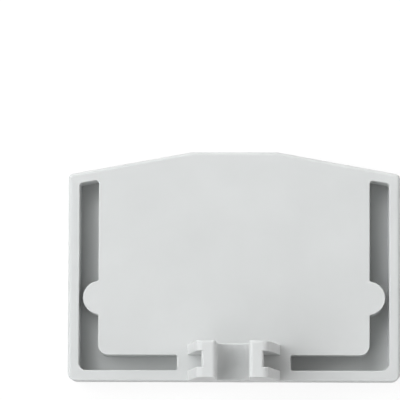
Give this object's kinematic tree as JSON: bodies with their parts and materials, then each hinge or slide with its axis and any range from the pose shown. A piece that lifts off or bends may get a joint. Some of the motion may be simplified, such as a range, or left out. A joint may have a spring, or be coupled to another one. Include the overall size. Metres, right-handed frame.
{
  "type": "terminal block end cover",
  "caption": "Flat moulded end cover with sloping shoulders, blind side grooves round a raised centre and a ribbed lug with an open screw slot; closes and fixes a terminal block strip.",
  "frame": {"origin": "centre of the plain back face's bounding rectangle, on the surface that the cover lies on", "axes": "+X along the width, +Y from the foot to the crown, +Z from the plain back towards the tip of the screw lug"},
  "size_m": [0.032, 0.022, 0.0135],
  "materials": {
    "grey_plastic": "fine matte moulded thermoplastic, light grey"
  },
  "bodies": {
    "root": {"end_cover": "grey_plastic"}
  },
  "joints": []
}
